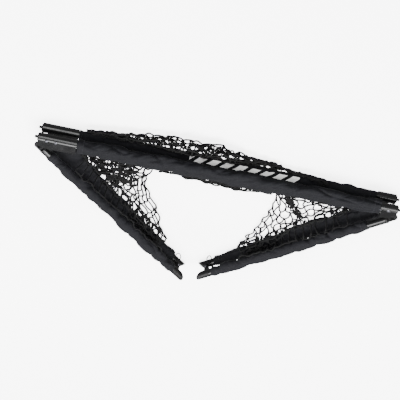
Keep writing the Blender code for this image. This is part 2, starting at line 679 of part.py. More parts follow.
def side_net_place(side):
    """From the post's sleeve, over the side rail's, across the floor to the bars and back."""
    turn = 1.0 if side == "left" else -1.0
    down = PIVOT_SET - BAR_LACED - NET_BAR_GAP
    fold = FOLD[side]
    first_row = 1 / SIDE_NET_ROWS

    def place(u, v):
        s = SIDE_NET[0] + (SIDE_NET[1] - SIDE_NET[0]) * u
        if v < first_row / 2:
            return (s, turn * POST_LACED, 0)
        across = (v - first_row) / (1 - first_row)
        near = Vector((s, RAIL_BESIDE))
        along = SIDE_NET_BAR_START + (SIDE_NET_BAR_END - SIDE_NET_BAR_START) * min(1.0, u * 2)
        # A point beside the bars, in the leg's own axes
        far = Vector((along * cos(fold) - down * sin(fold), along * sin(fold) + down * cos(fold)))
        if u > 0.5:
            end = Vector((SIDE_NET[1] + NET_MESH * 0.4, RAIL_BESIDE + SIDE_NET_HANG))
            far = far.lerp(end, u * 2 - 1)
        flat = near.lerp(far, across)
        wave = sin(pi * across) * (0.5 + 0.5 * sin(u * 19.0 + across * 7.0))
        flat.x += 0.006 * sin(across * 9.0 + u * 23.0) * sin(pi * across)
        return (flat.x, turn * flat.y, SIDE_NET_RISE * wave - FRONT_Z + NET_FLOOR)

    return place


columns = round((BACK_NET[1] - BACK_NET[0]) / NET_MESH)
net("back_net", bars, columns, BACK_NET_ROWS, back_net_place)
columns = round(2 * FRONT_NET_HALF / NET_MESH)
net("front_net", bars, columns, FRONT_NET_ROWS, front_net_place)
columns = round((SIDE_NET[1] - SIDE_NET[0]) / NET_MESH)
for side in SIDES:
    net(side + "_side_net", corner[side], columns, SIDE_NET_ROWS, side_net_place(side))
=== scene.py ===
# %% [markdown]
# # A folding floorball goal, folded flat
# The goal is two U-shaped frames of black steel tube, hinged together at the feet and folded
# until they lie on each other. Cloth sleeves cover the tubes, and the net is bunched behind
# the bars and in both corners.
# The CAD model is loaded first. Its tubes and fittings keep their places, and this lesson
# adds what a CAD model leaves plain: finishes, creased cloth, and netting made of real twine.

import json
import math
import random

import bmesh
import bpy
from mathutils import Matrix, Vector, noise


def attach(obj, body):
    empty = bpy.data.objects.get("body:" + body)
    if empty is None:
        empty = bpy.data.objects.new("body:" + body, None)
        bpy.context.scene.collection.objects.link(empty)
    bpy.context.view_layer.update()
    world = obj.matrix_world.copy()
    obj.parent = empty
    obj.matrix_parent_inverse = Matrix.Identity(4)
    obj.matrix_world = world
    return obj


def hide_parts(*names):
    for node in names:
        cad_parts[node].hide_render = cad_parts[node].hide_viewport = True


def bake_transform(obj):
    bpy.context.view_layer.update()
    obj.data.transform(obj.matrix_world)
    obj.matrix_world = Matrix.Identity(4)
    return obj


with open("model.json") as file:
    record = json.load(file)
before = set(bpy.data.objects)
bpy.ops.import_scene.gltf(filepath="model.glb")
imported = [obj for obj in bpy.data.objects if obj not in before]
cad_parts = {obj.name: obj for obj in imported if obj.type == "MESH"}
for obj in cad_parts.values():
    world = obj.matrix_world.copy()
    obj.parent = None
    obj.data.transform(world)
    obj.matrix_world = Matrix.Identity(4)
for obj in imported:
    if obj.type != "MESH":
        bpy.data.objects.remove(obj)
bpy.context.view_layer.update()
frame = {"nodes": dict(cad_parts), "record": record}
nodes = frame["nodes"]
noise.seed_set(11)  # without a seed of its own, noise_vector differs from run to run
bpy.ops.object.select_all(action="DESELECT")
print("CAD nodes:", len(nodes))

# %% [markdown]
# ## The sizes that the pieces share
# The cloth and the net have to fit the tubes, so the sizes of the CAD model are written here
# once, in metres. Each tube gets a matrix that says where it lies: X runs along the tube, Z
# is up, and the origin is the middle of a bar or the corner pivot of a leg. A piece is shaped
# in these plain coordinates, and the matrix then carries it to its tube.

# %% Sizes and places
TUBE_R = 0.010
BASE_Z = 0.0146  # height of the base frame's tubes above the floor
FRONT_Z = 0.0516  # height of the front frame's tubes, on top of the base frame
BAR_Y = 0.159747
PIVOT_Y = 0.129747
PIVOT_X = 0.450
LEG = 0.530  # corner pivot to foot hinge
FOLD = {"left": math.acos(0.4036 / LEG), "right": math.acos(0.4154 / LEG)}
SIDES = ("left", "right")
INWARDS = {"left": 1, "right": -1}  # the way to the goal's middle, along a leg's own Y


def turned_place(x, y, z, turn=0.0):
    return Matrix.Translation((x, y, z)) @ Matrix.Rotation(turn, 4, "Z")


bar_place = {
    "front_bar": turned_place(0, BAR_Y, FRONT_Z),
    "rear_rail": turned_place(0, BAR_Y, BASE_Z),
}
leg_place = {}
for side in SIDES:
    x = -PIVOT_X if side == "left" else PIVOT_X
    turn = -FOLD[side] if side == "left" else math.pi + FOLD[side]
    leg_place[side, "post"] = turned_place(x, PIVOT_Y, FRONT_Z, turn)
    leg_place[side, "side_rail"] = turned_place(x, PIVOT_Y, BASE_Z, turn)
print("Legs folded to:", {side: round(math.degrees(turn), 1) for side, turn in FOLD.items()})

# %% [markdown]
# ## Camera
# The goal was photographed from behind its bars, from about forty-six degrees up, and the
# picture was then turned half way round, so that the feet point down in it. That is why the
# upper frame covers the lower one from below. The camera stands there too: it is aimed with
# a track quaternion and then rolled half a turn about its own axis, and a little further.

# %% Camera
AIM = Vector((-0.02796, 0.03718, 0.0300))
DISTANCE = 4.2437
elevation, azimuth, roll = math.radians(46.467), math.radians(-4.255), math.radians(180 + 8.402)
towards = Vector((
    math.sin(azimuth) * math.cos(elevation),
    math.cos(azimuth) * math.cos(elevation),
    math.sin(elevation),
))
bpy.ops.object.camera_add(location=AIM + towards * DISTANCE)
camera = bpy.context.object
camera.rotation_euler = (-towards).to_track_quat("-Z", "Y").to_euler()
camera.rotation_euler.rotate_axis("Z", roll)
camera.data.lens = 150
camera.data.sensor_width = 36
camera.data.clip_end = 50
bpy.context.scene.camera = camera
print("Camera stands at:", [round(value, 3) for value in camera.location])

# %% [markdown]
# ## Floor and light
# A white sweep and large soft lights give the bright, nearly shadowless look of a catalogue
# picture. The sweep glows, so that it stays white, but it throws no light on the goal: black
# gloss shows only what it reflects. A wide light overhead draws the bright line along each
# tube, and low lights from both ends bring out the creases in the cloth.

# %% Floor and lights
bpy.ops.mesh.primitive_plane_add(size=60, location=(0, 0, 0))
floor = bpy.context.object
floor.name = "floor"
floor_paint = bpy.data.materials.new("white_sweep")
floor_paint.use_nodes = True
floor_look = {"Base Color": (0.90, 0.90, 0.90, 1), "Roughness": 0.9, "Specular IOR Level": 0.1,
              "Emission Color": (1, 1, 1, 1), "Emission Strength": 4.4}
for label, value in floor_look.items():
    floor_paint.node_tree.nodes["Principled BSDF"].inputs[label].default_value = value
floor.data.materials.append(floor_paint)
floor.visible_diffuse = False
floor.visible_glossy = False


def soft_light(name, place, width, height, power):
    """A rectangular light at place, aimed at the middle of the goal."""
    bpy.ops.object.light_add(type="AREA", location=place)
    light = bpy.context.object
    light.name = name
    light.data.shape = "RECTANGLE"
    light.data.size = width
    light.data.size_y = height
    light.data.energy = power
    light.rotation_euler = (-Vector(place)).to_track_quat("-Z", "Y").to_euler()


soft_light("overhead", (0.1, -0.25, 2.3), 2.6, 1.3, 210)
soft_light("left_end", (-2.3, -0.7, 0.9), 0.8, 0.5, 56)
soft_light("right_end", (2.3, -0.9, 1.0), 0.8, 0.5, 36)
soft_light("near_fill", (-0.5, 2.6, 1.9), 2.0, 0.8, 60)

world = bpy.data.worlds.new("pale_studio")
world.use_nodes = True
world.node_tree.nodes["Background"].inputs["Color"].default_value = (1.0, 1.0, 1.0, 1)
world.node_tree.nodes["Background"].inputs["Strength"].default_value = 0.66
bpy.context.scene.world = world

# %% [markdown]
# ## Finishes
# Everything here is black, so the finishes differ in how they shine: gloss powder coat,
# satin nylon, plated steel, matt cloth and dull twine. Effects that several finishes share
# are node groups with named inputs, built once. Small helpers keep the node trees readable:
# one makes a node with its settings and links, and one maps a range of values to another.

# %% Node helpers
def new_group(name, inputs, outputs):
    """An empty shader node group with the sockets given as {name: default}."""
    group = bpy.data.node_groups.new(name, "ShaderNodeTree")
    for label, value in inputs.items():
        kind = "NodeSocketVector" if value is None else "NodeSocketFloat"
        socket = group.interface.new_socket(label, in_out="INPUT", socket_type=kind)
        if value is not None:
            socket.default_value = value
    for label in outputs:
        group.interface.new_socket(label, in_out="OUTPUT", socket_type="NodeSocketFloat")
    return group, group.nodes.new("NodeGroupInput"), group.nodes.new("NodeGroupOutput")


def node(tree, kind, settings=None, **inputs):
    """A node with its settings and inputs; an input is a value or another node's socket.

    An input is named with _ for each space, or as _ and its number."""
    made = tree.nodes.new("ShaderNode" + kind)
    for key, value in (settings or {}).items():
        setattr(made, key, value)
    for key, value in inputs.items():
        socket = made.inputs[int(key[1:]) if key[0] == "_" else key.replace("_", " ")]
        if isinstance(value, bpy.types.NodeSocket):
            tree.links.new(value, socket)
        else:
            socket.default_value = value
    return made


def math_node(tree, operation, *values):
    inputs = {f"_{i}": value for i, value in enumerate(values)}
    return node(tree, "Math", {"operation": operation}, **inputs).outputs[0]


def ramp(tree, value, low, high, out_low, out_high):
    return node(tree, "MapRange", None, Value=value, From_Min=low, From_Max=high,
                To_Min=out_low, To_Max=out_high).outputs["Result"]


# %% [markdown]
# ### Scuffs and dust
# Handling leaves short fine scratches and a little dull dust on anything black. They could
# be painted on by hand, but noise needs no picture and no unwrapping: stretched noise makes
# the scratches, and soft noise says where they are.

# %% The scuff group
scuffs, given, result = new_group(
    "scuffs", {"Grain": 400.0, "Amount": 0.5}, ["Scratch", "Cloudy"])
place = node(scuffs, "TexCoord").outputs["Object"]
long_way = node(scuffs, "Mapping", None, Vector=place, Scale=(0.12, 1.0, 1.0),
                Rotation=(0.3, 0.2, 0.6))
fine = node(scuffs, "TexNoise", None, Vector=long_way.outputs[0], Scale=given.outputs["Grain"],
            Detail=3.0)
where = node(scuffs, "TexNoise", None, Vector=place, Scale=22.0, Detail=4.0, Roughness=0.6)
thin = ramp(scuffs, fine.outputs[0], 0.60, 0.72, 0.0, 1.0)
patch = ramp(scuffs, where.outputs[0], 0.42, 0.68, 0.0, 1.0)
marks = math_node(scuffs, "MULTIPLY", thin, patch)
scuffs.links.new(math_node(scuffs, "MULTIPLY", marks, given.outputs["Amount"]),
                 result.inputs["Scratch"])
scuffs.links.new(where.outputs[0], result.inputs["Cloudy"])
print("Group made:", scuffs.name)

# %% [markdown]
# ### Weave
# Polyester cloth is a plain weave: one thread over, one under. Real threads would need
# millions of faces. Two crossed waves on the cloth's own UV map, which is in metres, give
# the same small bumps, and they follow every crease.

# %% The weave group
weave, given, result = new_group(
    "weave", {"Cloth": None, "Threads per metre": 1500.0}, ["Height", "Tone"])
split = node(weave, "SeparateXYZ", None, Vector=given.outputs["Cloth"])
turns = math_node(weave, "MULTIPLY", given.outputs["Threads per metre"], math.pi)
warp = math_node(weave, "SINE", math_node(weave, "MULTIPLY", split.outputs["X"], turns))
weft = math_node(weave, "SINE", math_node(weave, "MULTIPLY", split.outputs["Y"], turns))
over = math_node(weave, "MULTIPLY", warp, weft)
slub = node(weave, "TexNoise", None, Vector=given.outputs["Cloth"], Scale=260.0, Detail=3.0)
uneven = math_node(weave, "MULTIPLY", slub.outputs[0], 1.2)
weave.links.new(math_node(weave, "ADD", over, uneven), result.inputs["Height"])
broad = node(weave, "TexNoise", None, Vector=given.outputs["Cloth"], Scale=34.0, Detail=5.0,
             Roughness=0.62)
weave.links.new(ramp(weave, broad.outputs[0], 0.30, 0.72, 0.0, 1.0), result.inputs["Tone"])
print("Group made:", weave.name)


# %% [markdown]
# ### The finishes themselves
# Each material places the groups with its own values. Numbers that are the same all over,
# such as the coat or the sheen, are set straight on the Principled shader, because the
# export drops a sheen or a coat roughness that is linked.

# %% Material helpers
def finish(name, **constants):
    made = bpy.data.materials.new(name)
    made.use_nodes = True
    tree = made.node_tree
    shader = tree.nodes["Principled BSDF"]
    for key, value in constants.items():
        shader.inputs[key.replace("_", " ")].default_value = value
    return made, tree, shader


def place_group(tree, group, **values):
    return node(tree, "Group", {"node_tree": group}, **values)


def mixed(tree, factor, first, second):
    """A colour between two; first is three numbers or another node's socket."""
    start = first if isinstance(first, bpy.types.NodeSocket) else (*first, 1)
    mix = node(tree, "Mix", {"data_type": "RGBA"}, _0=factor, _6=start, _7=(*second, 1))
    return mix.outputs[2]


def bump(tree, shader, height, strength, distance):
    made = node(tree, "Bump", None, Height=height, Strength=strength, Distance=distance)
    tree.links.new(made.outputs[0], shader.inputs["Normal"])


def object_noise(tree, scale, detail):
    """Even noise on the piece's own coordinates."""
    place = node(tree, "TexCoord").outputs["Object"]
    return node(tree, "TexNoise", None, Vector=place, Scale=scale, Detail=detail).outputs[0]


# %% [markdown]
# ### Paint, nylon and steel
# The tubes are powder coated, in a thick gloss film with a faint orange peel. Plugs, hooks
# and feet are moulded nylon, satin and finely pitted, and the rivets are plated steel. One
# black for all would look like plastic. The paint alone gets a coat layer, for its sharp
# highlight, and each finish takes its scratches from the scuff group at its own grain.

# %% Paint, nylon and steel
gloss_coat, tree, shader = finish("black_powder_coat", Coat_Weight=0.15, Coat_Roughness=0.12,
                                  Specular_IOR_Level=0.22)
worn = place_group(tree, scuffs, Grain=520.0, Amount=0.6)
colour = mixed(tree, worn.outputs["Scratch"], (0.0024, 0.0024, 0.0027), (0.024, 0.024, 0.025))
tree.links.new(colour, shader.inputs["Base Color"])
rough = math_node(tree, "ADD", ramp(tree, worn.outputs["Cloudy"], 0.3, 0.7, 0.20, 0.30),
                  math_node(tree, "MULTIPLY", worn.outputs["Scratch"], 0.25))
tree.links.new(rough, shader.inputs["Roughness"])
bump(tree, shader, object_noise(tree, 700.0, 1.0), 0.06, 0.0004)

satin_nylon, tree, shader = finish("black_nylon", Specular_IOR_Level=0.20)
worn = place_group(tree, scuffs, Grain=380.0, Amount=0.8)
colour = mixed(tree, worn.outputs["Scratch"], (0.0028, 0.0028, 0.0031), (0.025, 0.025, 0.026))
tree.links.new(colour, shader.inputs["Base Color"])
rough = ramp(tree, worn.outputs["Cloudy"], 0.3, 0.7, 0.34, 0.52)
tree.links.new(rough, shader.inputs["Roughness"])
bump(tree, shader, object_noise(tree, 1800.0, 2.0), 0.12, 0.0003)

plated_steel, tree, shader = finish("dark_plated_steel", Metallic=1.0)
worn = place_group(tree, scuffs, Grain=900.0, Amount=0.9)
colour = mixed(tree, worn.outputs["Scratch"], (0.08, 0.08, 0.09), (0.20, 0.19, 0.18))
tree.links.new(colour, shader.inputs["Base Color"])
rough = ramp(tree, worn.outputs["Cloudy"], 0.3, 0.7, 0.26, 0.44)
tree.links.new(rough, shader.inputs["Roughness"])

# %% [markdown]
# ### Cloth
# The sleeves are dark polyester, nearly black with a cast of blue, sewn at their hems. The
# stitches could be modelled, but at this size a mask shows them as well: the cloth's own map
# and an attribute with the distance to the hem say where they run. A little sheen stands for
# the fine fibres on the cloth.

# %% Cloth
STITCH_ROW = 0.016  # from the edge of a hem to its row of stitches
STITCH_HALF = 0.0006  # half the width of the row
STITCHES = 300.0  # stitches per metre
STITCH_SHARE = 0.68  # how much of the row is thread


def cloth_finish(name, stripes=None):
    """Dark polyester with a blue cast. stripes(tree, cloth) gives a mask for white ink."""
    made, tree, shader = finish(name, Specular_IOR_Level=0.117, Sheen_Weight=0.022,
                                Sheen_Roughness=0.4)
    cloth = node(tree, "UVMap", {"uv_map": "UVMap"}).outputs[0]
    threads = place_group(tree, weave, Cloth=cloth)
    colour = mixed(tree, threads.outputs["Tone"], (0.0030, 0.0031, 0.0043),
                   (0.0057, 0.0059, 0.0076))
    # A row of stitches holds each hem; "hem" is the distance from it, in metres
    hem = node(tree, "Attribute", {"attribute_name": "hem"}).outputs["Fac"]
    off_row = math_node(tree, "ABSOLUTE", math_node(tree, "SUBTRACT", hem, STITCH_ROW))
    row = math_node(tree, "LESS_THAN", off_row, STITCH_HALF)
    round_it = node(tree, "SeparateXYZ", None, Vector=cloth).outputs["Y"]
    stitch = math_node(tree, "FRACT", math_node(tree, "MULTIPLY", round_it, STITCHES))
    dashes = math_node(tree, "LESS_THAN", stitch, STITCH_SHARE)
    stitches = math_node(tree, "MULTIPLY", row, dashes)
    colour = mixed(tree, stitches, colour, (0.014, 0.014, 0.017))
    if stripes is not None:
        colour = mixed(tree, stripes(tree, cloth), colour, (0.90, 0.90, 0.89))
    tree.links.new(colour, shader.inputs["Base Color"])
    rough = ramp(tree, threads.outputs["Tone"], 0.0, 1.0, 0.62, 0.78)
    tree.links.new(rough, shader.inputs["Roughness"])
    raised = math_node(tree, "MULTIPLY", stitches, 3.0)
    bump(tree, shader, math_node(tree, "ADD", threads.outputs["Height"], raised), 0.35, 0.0003)
    return made


cloth_black = cloth_finish("black_polyester")

# %% [markdown]
# ### Twine
# The net's cord is twisted from fine strands. To model each strand would multiply the faces,
# so a wave that runs along and round the cord's own map draws the twist as a bump.

# %% Twine
twine_black, tree, shader = finish("black_twine", Specular_IOR_Level=0.14)
cord_map = node(tree, "UVMap", {"uv_map": "UVMap"}).outputs[0]
split = node(tree, "SeparateXYZ", None, Vector=cord_map)
along = math_node(tree, "MULTIPLY", split.outputs["X"], 2200.0)
round_it = math_node(tree, "MULTIPLY", split.outputs["Y"], 4 * math.pi)
twist = math_node(tree, "SINE", math_node(tree, "ADD", along, round_it))
fuzz = place_group(tree, scuffs, Grain=1500.0, Amount=0.5)
colour = mixed(tree, fuzz.outputs["Scratch"], (0.0026, 0.0026, 0.0029), (0.014, 0.014, 0.015))
tree.links.new(colour, shader.inputs["Base Color"])
rough = ramp(tree, fuzz.outputs["Cloudy"], 0.3, 0.7, 0.55, 0.75)
tree.links.new(rough, shader.inputs["Roughness"])
bump(tree, shader, twist, 0.5, 0.0004)

# %% [markdown]
# ## The CAD pieces that stay
# Tubes, brackets, plugs, hooks, feet and rivets have their true shapes already. Modelling
# them again would only risk a misfit, so each just gets its finish, by the material slot
# that the record names.

# %% Finish the CAD pieces
by_slot = {"black_paint": gloss_coat, "black_plastic": satin_nylon, "rivet_steel": plated_steel,
           "sleeve_cloth": cloth_black, "net_cord": twine_black}
for row in frame["record"]["subparts"]:
    for slot in nodes[row["node"]].material_slots:
        slot.material = by_slot[row["material_slot"]]
print("Finishes:", [made.name for made in by_slot.values()])

# %% [markdown]
# ## Sleeves
# A sleeve is a flat strip of cloth, wrapped round the tube and sewn. It is made that way
# here: a fine grid is the strip, and each of its points is rolled to its place round the
# tube. A simulation could shape it too, but rolled by numbers it keeps the outline that the
# photograph shows. Wide cloth on a thin tube creases, so ridged noise, stretched along
# slanting lines, presses folds into it. It is drawn in at its hems and pressed flat where it
# lies on the floor. The grid keeps its flat UV map, so the weave follows every fold.

# %% Wrinkles
def between(points, x):
    """The height at x of a line drawn through (x, height) points."""
    for (x_0, y_0), (x_1, y_1) in zip(points, points[1:]):
        if x <= x_1:
            return y_0 + (y_1 - y_0) * max(0.0, x - x_0) / (x_1 - x_0)
    return points[-1][1]


def ridge(x, y, seed, sharp):
    """From 0 to 1: high on thin winding lines, low between them."""
    return (1.0 - min(1.0, abs(noise.noise(Vector((x, y, seed)))) * 2.6)) ** sharp


def creases(s, t, slant, seed):
    """How deep the cloth is pressed in, from 0 to 1, at s along and t round the sleeve."""
    across = s * math.cos(slant) + t * math.sin(slant)
    along = -s * math.sin(slant) + t * math.cos(slant)
    wide = ridge(across * 22, along * 8, seed, 1.6)
    crossed = ridge(across * 14 + along * 19, along * 10 - across * 12, seed + 3.7, 2.2)
    small = ridge(across * 58, along * 20, seed + 9.1, 3.0)
    return 0.62 * wide + 0.45 * crossed + 0.20 * small


# %% Where each point of a rolled strip lies
SIDE_ROOM, TOP_ROOM, HEM_ROOM = 0.0012, 0.0009, 0.0011  # least room between tube and cloth
HEM_EDGE = 0.003  # this much of a hem lies on the tube
HEM_TAPER = 0.045  # from the hem to where the sleeve has its full width
CALM_HEM = 0.02  # creases fade out this near a hem
CALM_SEAM = 0.05  # and, as a share of the way round, this near the seam below
SLACK_SINK, SLACK_DROOP, SLACK_RIDGES = 0.42, 0.004, 0.0035  # slack is flat, hangs and folds
RING_DEPTH = 0.0011
NO_FLOOR = -1.0


def rolled_strip(start, length, around, reaches, height, slant, seed, depth, floor=NO_FLOOR,
                 slack_side=0, hems=(True, True), hem_fill=0.76, rings=()):
    """Gives point(u, v), which rolls a point of the flat strip to its place round the tube.

    reaches is how far the sleeve reaches to +Y and to -Y, each as (place along the tube,
    reach) pairs, and height how far it reaches up and down. slant, seed and depth are those
    of its creases. No point is lower than floor. slack_side is 1 or -1 where there is slack
    to +Y or to -Y. hems says which ends are drawn in, hem_fill how wide these stay, and rings
    are the places and widths of creases that go right round."""

    def point(u, v):
        s, t = u * length, v * around
        a = 2 * math.pi * v - math.pi * 0.5
        c, z_share = math.cos(a), math.sin(a)
        near = min(s if hems[0] else 1.0, length - s if hems[1] else 1.0)
        fill = hem_fill + (1 - hem_fill) * min(1.0, near / HEM_TAPER) ** 0.7
        reach = between(reaches[0] if c > 0 else reaches[1], start + s) * fill
        top = height * fill
        calm = min(1.0, near / CALM_HEM, v / CALM_SEAM, (1 - v) / CALM_SEAM)
        press = creases(s, t, slant, seed) * depth * calm
        droop = 0.0
        out = max(0.0, c * slack_side)
        if out > 0:
            top *= 1.0 - SLACK_SINK * out ** 1.5
            droop = SLACK_DROOP * out ** 2
            press += SLACK_RIDGES * out * ridge(s * 7, t * 85, seed + 5.0, 1.5) * calm
        for ring_place, ring_width in rings:
            d = abs(s + start - ring_place) / ring_width
            if d < 1:
                swell = 0.5 + 0.5 * math.cos(d * math.pi)
                press += RING_DEPTH * swell * (0.6 + 0.4 * math.sin(6 * a))
        y = c * max(reach - press * 1.2, TUBE_R + SIDE_ROOM)
        z = z_share * max(top - press, TUBE_R + TOP_ROOM) - droop
        if near < HEM_EDGE:
            y, z = c * (TUBE_R + HEM_ROOM), z_share * (TUBE_R + HEM_ROOM)
        return start + s, y, max(z, floor)

    return point


# %% Rolling a strip into a sleeve
CLOTH = 0.0006  # how thick it is
CLOTH_STEP = 0.0024  # one column of the strip, along the tube
CLOTH_ROWS = 60  # rows of the strip, round the tube
GIRTH = 0.80  # the girth of an oval, as a share of that of the box round it


def sleeve(name, tube, place, start, end, reaches, height, look=cloth_black, hems=(True, True),
           **shape):
    """A strip of cloth rolled round a tube, from start to end along it."""
    length = end - start
    middle = (start + end) / 2
    around = GIRTH * 2 * (height * 2 + between(reaches[0], middle) + between(reaches[1], middle))
    point = rolled_strip(start, length, around, reaches, height, hems=hems, **shape)
    bpy.ops.object.select_all(action="DESELECT")
    bpy.ops.mesh.primitive_grid_add(x_subdivisions=int(length / CLOTH_STEP),
                                    y_subdivisions=CLOTH_ROWS, size=1, calc_uvs=True)
    made = bpy.context.object
    made.name = name
    for vert in made.data.vertices:
        vert.co = point(vert.co.x + 0.5, vert.co.y + 0.5)
    for loop in made.data.uv_layers[0].data:
        loop.uv = (loop.uv[0] * length, loop.uv[1] * around)
    bpy.ops.object.mode_set(mode="EDIT")
    bpy.ops.mesh.select_all(action="SELECT")
    bpy.ops.mesh.remove_doubles(threshold=0.00001)  # sews the seam
    bpy.ops.mesh.normals_make_consistent(inside=False)
    bpy.ops.object.mode_set(mode="OBJECT")
    from_hem = made.data.attributes.new("hem", "FLOAT", "POINT")
    for i, vert in enumerate(made.data.vertices):
        s = vert.co.x - start
        from_hem.data[i].value = min(s if hems[0] else 1.0, length - s)
    made.data.transform(place)
    wall = made.modifiers.new("cloth", "SOLIDIFY")
    wall.thickness = CLOTH
    wall.offset = -1
    bpy.ops.object.modifier_apply(modifier="cloth")
    bpy.ops.object.shade_smooth()
    made.data.materials.append(look)
    return made


# %% [markdown]
# ### White stripes
# The rear rail's sleeve carries plain slanting bars in white. They are drawn by numbers on
# the cloth's UV map: a stripe pattern along the sleeve, kept inside a narrow band. Separate
# faces laid on the cloth would have to follow each crease, and a mask does so by itself.

# %% The printed cloth
BARS_LEAN, BARS_STEP, BARS_SHARE = 0.9, 0.034, 0.62
BAND_ALONG, BAND_ROUND = (0.280, 0.560), (0.0385, 0.0565)  # where the band begins and ends


def slanted_bars(tree, cloth):
    """A mask for white bars: x runs along the sleeve, y round it, both in metres."""
    split = node(tree, "SeparateXYZ", None, Vector=cloth)
    x, y = split.outputs["X"], split.outputs["Y"]
    leaning = math_node(tree, "ADD", x, math_node(tree, "MULTIPLY", y, BARS_LEAN))
    share = math_node(tree, "FRACT", math_node(tree, "DIVIDE", leaning, BARS_STEP))
    bars = math_node(tree, "LESS_THAN", share, BARS_SHARE)
    for value, (low, high) in ((x, BAND_ALONG), (y, BAND_ROUND)):
        bars = math_node(tree, "MULTIPLY", bars, math_node(tree, "GREATER_THAN", value, low))
        bars = math_node(tree, "MULTIPLY", bars, math_node(tree, "LESS_THAN", value, high))
    worn = node(tree, "TexNoise", None, Vector=cloth, Scale=420.0, Detail=3.0)
    return math_node(tree, "MULTIPLY", bars, ramp(tree, worn.outputs[0], 0.28, 0.42, 0.92, 1.0))


cloth_printed = cloth_finish("printed_polyester", slanted_bars)
print("Cloths:", cloth_black.name, cloth_printed.name)

# %% [markdown]
# ### The bars' sleeves
# Both long sleeves run from clamp to clamp. How far each reaches was measured in the
# photograph at a few places, and the strip is filled out to a line through them. The
# crossbar's right end has been pushed up into close ring-like creases.

# %% The bars' sleeves
sleeves = {}
BASE_FLOOR = -BASE_Z + 0.0003  # the floor, as seen from a tube of the base frame
CROSSBAR_REACH = (
    ((-0.359, 0.0190), (0.413, 0.0205)),
    ((-0.359, 0.0276), (-0.170, 0.0305), (0.020, 0.0322), (0.220, 0.0312), (0.413, 0.0288)),
)
REAR_REACH = (
    ((-0.359, 0.0190), (0.250, 0.0170), (0.400, 0.0140)),
    ((-0.359, 0.0300), (-0.300, 0.0205), (0.400, 0.0235)),
)
sleeves["front_bar"] = sleeve(
    "crossbar_cloth", "crossbar_tube", bar_place["front_bar"], -0.359, 0.413, CROSSBAR_REACH,
    0.0166, slant=0.85, seed=2.0, depth=0.0080, hems=(True, False), hem_fill=0.97,
    rings=((0.352, 0.006), (0.362, 0.005), (0.372, 0.007)))
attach(sleeves["front_bar"], "front_bar")
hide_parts("crossbar_sleeve")
sleeves["rear_rail"] = sleeve(
    "rear_rail_cloth", "rear_rail_tube", bar_place["rear_rail"], -0.359, 0.400, REAR_REACH,
    0.0160, slant=-0.5, seed=14.0, depth=0.0058, floor=BASE_FLOOR, hems=(False, True),
    look=cloth_printed)
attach(sleeves["rear_rail"], "rear_rail")
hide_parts("rear_rail_sleeve")

# %% [markdown]
# ### The legs' sleeves
# Each leg is a pair: a post on top and a side rail below it. A post's sleeve is close to its
# tube. A side rail's is cut wider, and its slack lies on the inner side, towards the net.

# %% The legs' sleeves
SLEEVE_RUNS = {  # from where to where each sleeve runs, from the corner pivot
    ("left", "post"): (0.036, LEG - 0.014), ("right", "post"): (0.066, LEG - 0.017),
    ("left", "side_rail"): (0.040, LEG - 0.020), ("right", "side_rail"): (0.036, LEG - 0.022),
}
SLACK_REACH = {  # how far the slack of a side rail's sleeve lies out, most of it near the bars
    "left": ((0.044, 0.0260), (0.085, 0.0480), (0.115, 0.0470), (0.140, 0.0420), (0.200, 0.0345),
             (0.250, 0.0305), (0.350, 0.0265), (0.445, 0.0215), (0.510, 0.0205)),
    "right": ((0.042, 0.0260), (0.109, 0.0350), (0.200, 0.0365), (0.247, 0.0380), (0.290, 0.0310),
              (0.350, 0.0235), (0.457, 0.0185), (0.510, 0.0180)),
}
POST_INNER_REACH = ((0, 0.0175),)
OUTER_REACH = {
    "post": ((0.036, 0.0156), (0.200, 0.0168), (0.400, 0.0182), (0.516, 0.0184)),
    "side_rail": ((0.036, 0.0235), (0.075, 0.0200), (0.130, 0.0142), (0.420, 0.0142),
                  (0.470, 0.0165)),
}
for number, (side, rail) in enumerate(SLEEVE_RUNS):
    inner = POST_INNER_REACH if rail == "post" else SLACK_REACH[side]
    outer = OUTER_REACH[rail]
    body = f"{side}_{rail}"
    made = sleeve(
        body + "_cloth", body + "_tube", leg_place[side, rail], *SLEEVE_RUNS[side, rail],
        (inner, outer) if side == "left" else (outer, inner), 0.0158,
        slant=0.25 * INWARDS[side], seed=21.0 + 6 * number, depth=0.0060,
        floor=BASE_FLOOR if rail == "side_rail" else NO_FLOOR,
        slack_side=INWARDS[side] if rail == "side_rail" else 0)
    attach(made, body)
    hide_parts(body + "_sleeve")
    sleeves[body] = made

print("Sleeves:", {name: len(made.data.polygons) for name, made in sleeves.items()})

# %% [markdown]
# ## Netting
# The net is knotted from thin twine in square meshes of two and a half centimetres. A
# wireframe of a plane would give stiff bars that meet in corners. Real net is long cords that
# cross, with a knot at each crossing, so each row and column is laid as one round cord
# through its crossings, and a small round knot covers each of them. The slack net is bunched,
# so its surface is crumpled with noise before the cords are laid on it.

# %% Cord and knots
TWINE = 0.0021  # its radius
CORD_SIDES = 6
KNOT_R = TWINE * 1.06
LOWEST = TWINE * 1.6  # the middle of a cord that lies on the floor is this high


